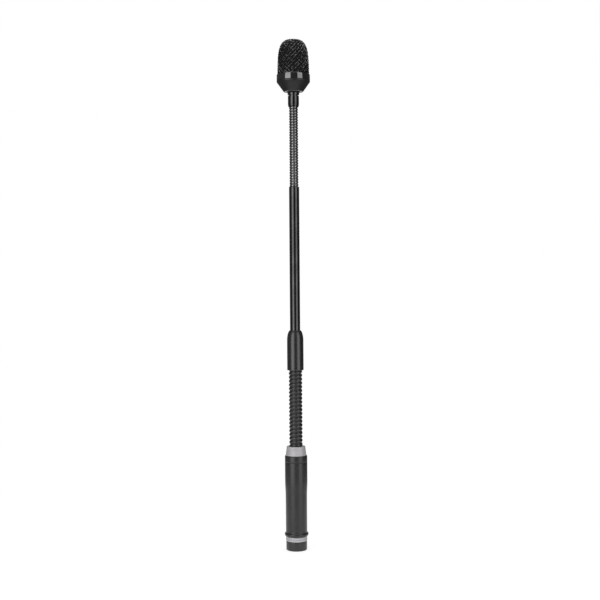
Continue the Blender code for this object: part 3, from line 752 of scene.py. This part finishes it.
# %% Both necks, hinge by hinge
def neck(prefix, crest, root, turns, finish):
    """One wound piece for each hinge. Returns the heights of the neck's ends and its pitch."""
    joints = hinges(prefix)
    heights = [joint["pos_m"][2] / MM for joint in joints]
    spacing = (heights[-1] - heights[0]) / (len(heights) - 1)
    pitch = spacing / turns
    stiff = pitch * STIFF_TURN
    for number, (joint, height) in enumerate(zip(joints, heights)):
        low, high = height - spacing / 2, height + spacing / 2
        nodes = [f"{prefix}_section_{number}"]
        if number == len(joints) - 1:
            nodes.append(f"{prefix}_section_{number + 1}")
        winding = coil(crest, root, pitch, low, turns, math.pi / 2)
        piece = new_object(f"{prefix}_coil_{number}", winding, finish)
        ends = {"start": (0, 0, (low + stiff) * MM), "end": (0, 0, (high - stiff) * MM)}
        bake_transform(piece)
        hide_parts(*nodes)
    print(f"{prefix}: {len(joints)} pieces of {turns} turns, {triangles(piece)} triangles each")
    return heights[0] - spacing / 2, heights[-1] + spacing / 2, pitch


LOWER_CREST, LOWER_ROOT = NECK_RADIUS + 0.15, NECK_RADIUS * 0.9
UPPER_CREST = measured("upper_neck_section_5")[0] + 0.1
UPPER_ROOT = UPPER_CREST * 0.87
LOWER_LOW, LOWER_HIGH, LOWER_PITCH = neck("lower_neck", LOWER_CREST, LOWER_ROOT, 2, "lower_coil_black")
UPPER_LOW, UPPER_HIGH, UPPER_PITCH = neck("upper_neck", UPPER_CREST, UPPER_ROOT, 3, "upper_coil_black")

# %% [markdown]
# ### Where the necks end
#
# The winding doesn't stop at the collar or at the sleeve: it runs on into the part that holds it. These short
# stretches ride on the handle, on the stem and on the head, so they never bend.

# %% The hidden ends of the necks
def neck_end(name, crest, root, pitch, low, turns, body, finish):
    piece = new_object(name, coil(crest, root, pitch, low, turns, math.pi / 2), finish)
    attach(piece, body)


TUCKED = 1
lower = (LOWER_CREST, LOWER_ROOT, LOWER_PITCH)
upper = (UPPER_CREST, UPPER_ROOT, UPPER_PITCH)
neck_end("lower_neck_foot", *lower, LOWER_LOW - LOWER_PITCH, TUCKED, "base", "lower_coil_black")
neck_end("lower_neck_head", *lower, LOWER_HIGH, TUCKED, "stem", "lower_coil_black")
neck_end("upper_neck_foot", *upper, UPPER_LOW - UPPER_PITCH, TUCKED, "stem", "upper_coil_black")
neck_end("upper_neck_head", *upper, UPPER_HIGH, TUCKED, "head", "upper_coil_black")

# %% [markdown]
# ### The cable inside
#
# One screened cable runs up the middle of both necks. It lies still in the handle, the stem and the head, and
# runs through the necks between, so it is made in stretches in the same way.

# %% Cable stretches
CABLE_RADIUS = measured("signal_cable")[0]
CABLE_LOW, CABLE_HIGH = measured("signal_cable")[1:]
CABLE_FACETS = 16


def cable_stretch(name, low, high):
    piece = new_object(name, rod(CABLE_RADIUS, low, high, CABLE_FACETS), "cable_grey")
    return piece


straight = [
    ("handle", "base", CABLE_LOW, LOWER_LOW),
    ("stem", "stem", LOWER_HIGH, UPPER_LOW),
    ("head", "head", UPPER_HIGH, CABLE_HIGH),
]
for label, body, low, high in straight:
    piece = cable_stretch(f"cable_in_{label}", low, high)
    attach(piece, body)
    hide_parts("signal_cable")
for prefix in ("lower_neck", "upper_neck"):
    joints = hinges(prefix)
    half = (joints[1]["pos_m"][2] - joints[0]["pos_m"][2]) / 2 / MM
    for number, joint in enumerate(joints):
        low, high = joint["pos_m"][2] / MM - half, joint["pos_m"][2] / MM + half
        piece = cable_stretch(f"{prefix}_cable_{number}", low, high)
        low * MM
        high * MM
        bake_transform(piece)
        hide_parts("signal_cable")
print("Cable from", round(CABLE_LOW, 1), "to", round(CABLE_HIGH, 1), "mm")

# %% [markdown]
# ## Sleeve and stem
#
# The sleeve steps the thick neck down to the thin tube. It is straight for two thirds of its length and then
# rounds in like the nose of a bullet. The tube is drawn metal, perfectly straight and plated black.

# %% Sleeve
SLEEVE_RADIUS, SLEEVE_FOOT, SLEEVE_TOP = measured("transition_sleeve")
FOOT_RISE, TOP_RISE = 0.5, 0.8
SLEEVE_FOOT += FOOT_RISE
SLEEVE_TOP += TOP_RISE
STEM_RADIUS, STEM_FOOT, STEM_TOP = measured("stem_tube")
NOSE_LENGTH = 10.0
NOSE_EDGE = STEM_RADIUS + 0.75
NOSE_STEPS = 12
NOSE_CURVE = (2.4, 1.25)


def nose_radius(share):
    """The nose's radius, from the full one at 0 to its edge at 1, rounding in faster towards the end."""
    return NOSE_EDGE + (SLEEVE_RADIUS - NOSE_EDGE) * (1 - share ** NOSE_CURVE[0]) ** (1 / NOSE_CURVE[1])


nose = [
    (nose_radius(step / NOSE_STEPS), SLEEVE_TOP - NOSE_LENGTH * (1 - step / NOSE_STEPS), 0)
    for step in range(NOSE_STEPS + 1)
]
sleeve = lathe([
    (LOWER_CREST + 0.1, SLEEVE_FOOT, 0.1),
    (SLEEVE_RADIUS, SLEEVE_FOOT, 0.3),
    *nose,
    (STEM_RADIUS + 0.1, SLEEVE_TOP, 0),
    (STEM_RADIUS + 0.1, STEM_FOOT - 0.5, 0),
    (LOWER_CREST + 0.1, STEM_FOOT - 0.5, 0),
])
fit_piece("sleeve", sleeve, "sleeve_black", "stem", "transition_sleeve")

# %% Stem
stem = lathe([
    (UPPER_CREST + 0.1, STEM_FOOT, 0.1),
    (STEM_RADIUS, STEM_FOOT, 0.1),
    (STEM_RADIUS, STEM_TOP, 0.25),
    (UPPER_CREST + 0.1, STEM_TOP, 0.1),
])
fit_piece("stem", stem, "stem_black", "stem", "stem_tube", slot="sleeve_black")

# %% [markdown]
# ## Ferrule
#
# The ferrule joins the thin neck to the head. Two grooves part it into a rounded foot, a polished barrel and a
# flange, and a narrower neck above the flange carries the cup.

# %% Ferrule
FLANGE_RADIUS, FERRULE_FOOT, FERRULE_TOP = measured("head_ferrule")
FERRULE_DROP = 0.8
FERRULE_FOOT -= FERRULE_DROP
FERRULE_RADIUS = FLANGE_RADIUS - 0.35
CUP_RADIUS, CUP_FOOT, CUP_TOP = measured("head_cup")
FERRULE_BORE = UPPER_CREST + 0.08


def groove(radius, height, width, depth, lip):
    """Corners of a square groove with rounded lips, from below."""
    return [
        (radius, height - width / 2, lip),
        (radius - depth, height - width / 2, lip / 2),
        (radius - depth, height + width / 2, lip / 2),
        (radius, height + width / 2, lip),
    ]


RECESS_TOP = CUP_FOOT - 1.3
FLANGE_TOP = CUP_FOOT - 1.8
ferrule = lathe([
    (FERRULE_BORE, FERRULE_FOOT, 0),
    (FERRULE_RADIUS - 0.65, FERRULE_FOOT, 0.15),
    (FERRULE_RADIUS, FERRULE_FOOT + 1.5, 0.5),
    *groove(FERRULE_RADIUS, FERRULE_FOOT + 1.9, 0.5, 0.3, 0.08),
    *groove(FERRULE_RADIUS, FLANGE_TOP - 2.5, 1.0, 0.9, 0.1),
    (FLANGE_RADIUS - 0.1, FLANGE_TOP - 2.0, 0.15),
    (FLANGE_RADIUS - 0.05, FLANGE_TOP, 0.25),
    (FERRULE_RADIUS - 0.7, FLANGE_TOP, 0.1),
    (FERRULE_RADIUS - 0.7, CUP_FOOT + 0.2, 0),
    (3.6, CUP_FOOT + 0.2, 0),
    (3.6, FERRULE_TOP, 0.2),
    (CABLE_RADIUS + 0.3, FERRULE_TOP, 0.2),
    (CABLE_RADIUS + 0.3, UPPER_HIGH + UPPER_PITCH + 2.0, 0),
    (FERRULE_BORE, UPPER_HIGH + UPPER_PITCH + 2.0, 0),
], 72)
fit_piece("ferrule", ferrule, "ferrule_black", "head", "head_ferrule", slot="sleeve_black")

# %% [markdown]
# ## Cup and band
#
# The head's cup is a wide cone with a recessed underside and a hollow inside for the capsule's mount. The
# glossy band stands on it with a hairline between them, and its upper edge is rounded over.

# %% Cup
BAND_RADIUS, BAND_FOOT, BAND_TOP = measured("grille_band")
GRILLE_RADIUS, CROWN = measured("grille_mesh")[::2]
SEAM = BAND_FOOT + 0.95
CUP_LAND = 1.3
CUP_RIM = 8.8
RIM_FOOT = CUP_FOOT - 0.95
CUP_BORE = FERRULE_RADIUS - 0.4
BOSS = 6.1
UNDERSIDE = RIM_FOOT + 0.45
cup = lathe([
    (CUP_BORE, RECESS_TOP, 0.1),
    (CUP_BORE + 0.8, RECESS_TOP, 0.2),
    (BOSS, UNDERSIDE, 0.1),
    (CUP_RIM - 0.3, UNDERSIDE, 0),
    (CUP_RIM - 0.3, RIM_FOOT, 0.08),
    (CUP_RIM, RIM_FOOT, 0.15),
    (CUP_RADIUS, SEAM - CUP_LAND, 0.1),
    (CUP_RADIUS, SEAM, 0.15),
    (CUP_RADIUS - 1.5, SEAM, 0),
    (CUP_RADIUS - 1.5, CUP_TOP, 0.1),
    (CUP_RIM, CUP_FOOT + 1.5, 0.4),
    (CUP_BORE, CUP_FOOT + 1.5, 0.1),
], 128)
fit_piece("cup", cup, "cup_black", "head", "head_cup", slot="sleeve_black")

# %% [markdown]
# ### A pale ring as painted reflection
#
# A thin pale ring, made with the moulded recipe, lies in the cup's recess, between its boss and its rim. Its
# white is a painted reflection: it stands in for the bright background that the cup's underside reflects.

# %% Pale ring under the cup, a painted reflection
painted_reflection_ring = lathe([
    (BOSS - 0.3, UNDERSIDE - 0.1, 0.05),
    (CUP_RIM - 0.4, UNDERSIDE - 0.1, 0.05),
    (CUP_RIM - 0.4, UNDERSIDE + 0.3, 0),
    (BOSS - 0.3, UNDERSIDE + 0.3, 0),
], 128)
fit_piece("cup_painted_reflection_ring", painted_reflection_ring, "painted_reflection_white", "head", "head_cup", slot="satin_silver")

# %% Band
LIP_TOP = BAND_TOP - 0.4
SHOULDER_DROP = 2.2
band = lathe([
    (GRILLE_RADIUS - 0.6, SEAM + 0.2, 0),
    (BAND_RADIUS - 0.4, SEAM + 0.2, 0),
    (BAND_RADIUS - 0.4, SEAM + HAIRLINE, 0),
    (BAND_RADIUS, SEAM + HAIRLINE, 0.06),
    (BAND_RADIUS, LIP_TOP - SHOULDER_DROP, 0.9),
    (BAND_RADIUS - 0.08, LIP_TOP, 0.52),
    (GRILLE_RADIUS + 0.05, LIP_TOP, 0.05),
    (GRILLE_RADIUS + 0.05, SEAM + 3.0, 0),
    (GRILLE_RADIUS - 0.6, SEAM + 3.0, 0),
], 128)
fit_piece("band", band, "gloss_black", "head", "grille_band")

# %% [markdown]
# ## The grille
#
# The grille is woven wire, pressed into a dome from a flat sheet. On top its wires cross as they did in the
# sheet; down the sides they slant, because the sheet's corners have been drawn in, and the openings become
# diamonds.
#
# A net of four-sided cells gives the wires their places: a square grid for the top, whose border is extruded
# down into rings for the side. The whole net is laid on the dome, and relaxed with `smooth_vert` until its cells
# are even. The wires then run along the diagonals of the cells, so each one climbs the side, crosses the
# top and goes down another side, as a wire in a pressed sheet does.

# %% The dome's shape
HEIGHT = CROWN - BAND_TOP
TAPER = 0.052
SHOULDER = (4.3, 3.3)
WIRE = 0.55
MIDDLE_RADIUS = GRILLE_RADIUS - 0.75 * WIRE
MIDDLE_HEIGHT = HEIGHT - 1.05 * WIRE
DOME_CENTRE = 15.0


def dome_width(height):
    """The radius halfway through the woven wall, at a height above the band."""
    share = min(max(height / MIDDLE_HEIGHT, 0), 1)
    return MIDDLE_RADIUS * (1 - TAPER * share) * (1 - share ** SHOULDER[0]) ** (1 / SHOULDER[1])


def on_dome(point):
    """The dome's point straight out from its axis, or from a centre inside its shoulder for a higher point."""
    centre = Vector((0, 0, min(point.z, DOME_CENTRE)))
    way = (point - centre).normalized()
    near, far = 0.0, 40.0
    while far - near > 0.002:
        reach = (near + far) / 2
        tried = centre + way * reach
        inside = tried.z < MIDDLE_HEIGHT and tried.xy.length < dome_width(tried.z)
        near, far = (reach, far) if inside else (near, reach)
    return centre + way * near


# %% The net on the dome
HALF_CELLS = 6
CELL = 1.8
TUCK = 2.4


def arc_heights():
    """Points (radius, height) along the dome from its crown down, every CELL of the way."""
    path = []
    steps = 4000
    last, walked = Vector((0, MIDDLE_HEIGHT)), 0.0
    for step in range(1, steps + 1):
        share = math.sin(math.pi / 2 * (1 - step / steps)) ** 0.5
        point = Vector((dome_width(MIDDLE_HEIGHT * share), MIDDLE_HEIGHT * share))
        walked += (point - last).length
        last = point
        while walked >= CELL * (len(path) + 1):
            path.append((point.x, point.y))
    while path[-1][1] > -TUCK:
        path.append((path[-1][0], path[-1][1] - CELL))
    return [(0.0, MIDDLE_HEIGHT), *path]


def woven_net():
    """A bmesh net on the dome, and each point's ring from the crown and colour, as on a chessboard."""
    net = bmesh.new()
    bmesh.ops.create_grid(net, x_segments=2 * HALF_CELLS, y_segments=2 * HALF_CELLS, size=HALF_CELLS)
    ring_of = {point: round(max(abs(point.co.x), abs(point.co.y))) for point in net.verts}
    colour_of = {point: round(point.co.x + point.co.y) % 2 for point in net.verts}
    angle_of = {}
    for point in net.verts:
        x, y = point.co.x, point.co.y
        main, side = (x, y) if abs(x) >= abs(y) else (y, -x)
        turn = math.pi / 4 * side / main if main else 0.0
        axis = 0.0 if abs(x) >= abs(y) else math.pi / 2
        angle_of[point] = axis + turn + (math.pi if main < 0 else 0.0)
    path = arc_heights()
    border = [edge for edge in net.edges if edge.is_boundary]
    for ring in range(HALF_CELLS + 1, len(path)):
        made = bmesh.ops.extrude_edge_only(net, edges=border)["geom"]
        fresh = {item for item in made if isinstance(item, bmesh.types.BMVert)}
        for point in fresh:
            others = [edge.other_vert(point) for edge in point.link_edges]
            below = next(other for other in others if other not in fresh)
            ring_of[point] = ring
            colour_of[point] = 1 - colour_of[below]
            angle_of[point] = angle_of[below]
        border = [item for item in made if isinstance(item, bmesh.types.BMEdge) and item.is_boundary]
    for point, ring in ring_of.items():
        radius, height = path[ring]
        point.co = (radius * math.cos(angle_of[point]), radius * math.sin(angle_of[point]), height)
    free = [point for point in net.verts if ring_of[point] < len(path) - 4]
    for _ in range(12):
        bmesh.ops.smooth_vert(net, verts=free, factor=0.5, use_axis_x=True, use_axis_y=True, use_axis_z=True)
        for point in free:
            point.co = on_dome(point.co)
    bmesh.ops.recalc_face_normals(net, faces=net.faces)
    net.normal_update()
    return net, ring_of, colour_of


net, ring_of, colour_of = woven_net()
print("Net:", len(net.verts), "crossings on", max(ring_of.values()), "rings")

# %% [markdown]
# ### Weaving
#
# A wire enters a cell at one corner and leaves it by the opposite one, then goes into the cell straight across
# that corner. At every crossing one wire lies over and the other under, by half a wire's thickness each. Which
# one is on top changes from ring to ring, and that is all that a plain weave is.

# %% Walking along the net's diagonals
def opposite_corner(face, point):
    near = {edge.other_vert(point) for edge in point.link_edges}
    return next(corner for corner in face.verts if corner is not point and corner not in near)


def cell_across(face, point):
    """The cell that touches this one only at that point, or None at the rim."""
    edges = set(face.edges)
    return next((other for other in point.link_faces if not edges & set(other.edges)), None)


def walk(point, face):
    path = [point]
    while face is not None:
        point = opposite_corner(face, path[-1])
        path.append(point)
        face = cell_across(face, point)
    return path


def lift(before, point, after):
    """1 where the wire lies over, and -1 where it lies under."""
    way = after.co - before.co
    handed = 1 if point.co.x * way.y - point.co.y * way.x > 0 else -1
    outward = 1 if ring_of[after] > ring_of[before] else -1
    return handed * outward * (1 if ring_of[point] % 2 else -1)


def wire_points(path):
    """The wire's centre line, with one more point between each two crossings."""
    centres = []
    for number, point in enumerate(path):
        before = path[max(number - 1, 0)]
        after = path[min(number + 1, len(path) - 1)]
        height = 0.52 * WIRE * lift(before, point, after)
        centres.append(point.co + point.normal * height)
    between = [(first.co + second.co) / 2 for first, second in zip(path, path[1:])]
    line = [centres[0]]
    for middle, centre in zip(between, centres[1:]):
        line += [middle, centre]
    return line


net.verts.index_update()
wires = []
for point in net.verts:
    if point.is_boundary and colour_of[point]:
        walks = [walk(point, face) for face in point.link_faces]
        wires += [path for path in walks if path[0].index < path[-1].index]
print("Wires:", len(wires), "with", sum(len(path) for path in wires), "crossings in all")

# %% The grille's wires as round bars along their lines
weave = bpy.data.curves.new("weave", "CURVE")
weave.dimensions = "3D"
weave.bevel_depth = WIRE / 2
weave.bevel_resolution = 1
weave.use_fill_caps = True
for path in wires:
    line = wire_points(path)
    spline = weave.splines.new("POLY")
    spline.points.add(len(line) - 1)
    for spot, centre in zip(spline.points, line):
        spot.co = (*centre, 1.0)
drawing = bpy.data.objects.new("weave", weave)
bpy.context.scene.collection.objects.link(drawing)
grille_mesh = bpy.data.meshes.new_from_object(drawing)
grille = bmesh.new()
grille.from_mesh(grille_mesh)
bpy.data.meshes.remove(grille_mesh)
bpy.data.objects.remove(drawing)
bmesh.ops.translate(grille, vec=(0, 0, BAND_TOP), verts=grille.verts)
fit_piece("woven_grille", grille, "mesh_black", "head", "grille_mesh")
net.free()

# %% [markdown]
# ## The foam behind the wires
#
# A dome of open-cell foam lines the grille and stops breath and wind. Through the openings one sees only its
# dark, rough skin. It is soft, so its skin is gently uneven.

# %% Foam dome
FOAM_RADIUS, FOAM_FOOT, FOAM_TOP = measured("foam_windscreen")
FOAM_WALL = 2.4
FOAM_STEPS = 16


def foam_outline(radius, height, wall):
    shares = [math.sin(math.pi / 2 * step / FOAM_STEPS) for step in range(FOAM_STEPS + 1)]
    widths = [(1 - TAPER * share) * (1 - share ** SHOULDER[0]) ** (1 / SHOULDER[1]) for share in shares]
    return [(radius * width, FOAM_FOOT + height * share, wall) for width, share in zip(widths, shares)]


outer = foam_outline(FOAM_RADIUS - 0.1, FOAM_TOP - FOAM_FOOT - 0.1, 0)
inner = foam_outline(FOAM_RADIUS - FOAM_WALL, FOAM_TOP - FOAM_FOOT - FOAM_WALL, 0)
lining = lathe([*outer, *reversed(inner)], 64)
for point in lining.verts:
    wander = 0.06 * math.sin(point.co.x * 2.1) * math.sin(point.co.y * 1.9) * math.sin(point.co.z * 1.7)
    point.co += point.normal * wander
foam_piece = fit_piece("foam_lining", lining, "foam_grey", "head", "foam_windscreen")

# %% [markdown]
# ## Parts that stay as engineered
#
# Nuts, board, capacitors and the capsule sit inside and keep the engineering model's shapes. They only need
# their finishes.

# %% Finishes for the inner parts
INNER = {
    "bare_steel": ["lower_neck_anchor", "anchor_nut", "ferrule_nut", "grille_retainer"],
    "board_green": ["preamp_board"],
    "insulator_black": ["preamp_transformer"],
    "capacitor_blue": ["coupling_capacitor_1", "coupling_capacitor_2"],
    "capsule_silver": ["capsule_housing", "capsule_face"],
    "contact_metal": ["capsule_diaphragm"],
    "mount_rubber": ["capsule_mount"],
}
for finish, nodes in INNER.items():
    for node in nodes:
        for material_slot in frame["nodes"][node].material_slots:
            material_slot.material = FINISHES[finish]
print("Refinished inside:", sum(len(nodes) for nodes in INNER.values()))

# %% [markdown]
# ## The studio
#
# A bright table and a white background, as for a catalogue. Glossy black shows nothing but reflections, so the
# light is all in what it reflects: two tall soft boxes in front, left and right, whose edges show in the
# plating, a broad one above for the top of the grille, and dim surroundings that leave the rest dark.

# %% Table
TABLE_RADIUS = 300
table_bm = bmesh.new()
bmesh.ops.create_circle(table_bm, cap_ends=True, segments=96, radius=TABLE_RADIUS)
table_shader, table_place = new_finish("table_white", Roughness=0.7, Emission_Strength=0.8)
paper = table_place.noise(40.0, 3.0)
wire_up(table_shader, Base_Color=paper.mixed(0.3, 0.34), Emission_Color=paper.mixed(0.97, 1.0))
table = new_object("table", table_bm, "table_white")

# %% [markdown]
# ### Surroundings
#
# The background is white to the camera. To everything else the room is dim, a little less so on the left, so
# that black stays black between the soft boxes and the outlines stay dark.

# %% The room
BACKDROP = 1.0
ROOM = (0.14, 0.04)  # middle level, and how much brighter the far left and darker the far right is
world = bpy.data.worlds.new("studio")
bpy.context.scene.world = world
world.use_nodes = True
sky = Signal(world.node_tree)
direction = sky.node("ShaderNodeTexCoord", {}, {}, output="Generated")
sideways = direction.node("ShaderNodeSeparateXYZ", {}, {"Vector": direction}, output="X")
seen = sky.node("ShaderNodeLightPath", {}, {}, output="Is Camera Ray")
room = ROOM[0] - sideways * ROOM[1]
strength = seen.math("MAXIMUM", seen * BACKDROP, room)
background = world.node_tree.nodes["Background"]
background.inputs["Color"].default_value = (1.0, 1.0, 1.0, 1.0)
world.node_tree.links.new(strength.socket, background.inputs["Strength"])


# %% Soft boxes
BOX_DISTANCE = 1.0
BOX_FOOT, BOX_HEAD = -0.35, 1.1
TOP_WIDTH, TOP_DEPTH = 1.0, 0.8
TOP_PLACE = (0, 0.1, 1.5)


def area_light(name, width, height, radiance, location, rotation):
    """A rectangular light. Its power is its radiance times pi times its area."""
    light = bpy.data.lights.new(name, "AREA")
    light.shape = "RECTANGLE"
    light.size, light.size_y = width, height
    light.energy = radiance * math.pi * width * height
    lamp = bpy.data.objects.new(name, light)
    lamp.location = location
    lamp.rotation_euler = rotation
    bpy.context.scene.collection.objects.link(lamp)


def soft_box(name, azimuth, width, radiance):
    """An upright light that faces the object. Azimuth 0 is in front and positive is to the right."""
    angle = math.radians(azimuth)
    location = (BOX_DISTANCE * math.sin(angle), -BOX_DISTANCE * math.cos(angle), (BOX_FOOT + BOX_HEAD) / 2)
    area_light(name, width, BOX_HEAD - BOX_FOOT, radiance, location, (math.pi / 2, 0, angle))


soft_box("soft_box_left", azimuth=-38, width=0.7, radiance=2.3)
soft_box("soft_box_right", azimuth=47, width=0.64, radiance=1.75)
area_light("soft_box_top", TOP_WIDTH, TOP_DEPTH, 4.5, TOP_PLACE, (0, 0, 0))
print("Lights:", len(bpy.data.lights))

# %% [markdown]
# ### The camera
#
# It stands a metre off at about half the microphone's height and looks very slightly down.

# %% Camera
LENS = 69.1
VIEW_DISTANCE = 1.048
VIEW_HEIGHT = 0.252
DOWNWARD = math.radians(1.1)
ROLL = math.radians(0.42)
SIDEWAYS, SHIFT = 0.0048, -0.0070
camera_data = bpy.data.cameras.new("camera")
camera_data.lens = LENS
camera_data.sensor_width = 36.0
camera_data.shift_y = SHIFT
camera = bpy.data.objects.new("camera", camera_data)
camera.location = (SIDEWAYS, -VIEW_DISTANCE, VIEW_HEIGHT)
camera.rotation_euler = (math.pi / 2 - DOWNWARD, ROLL, 0)
bpy.context.scene.collection.objects.link(camera)
bpy.context.scene.camera = camera
bpy.context.scene.view_settings.view_transform = "Standard"
print("Camera at", list(camera.location))
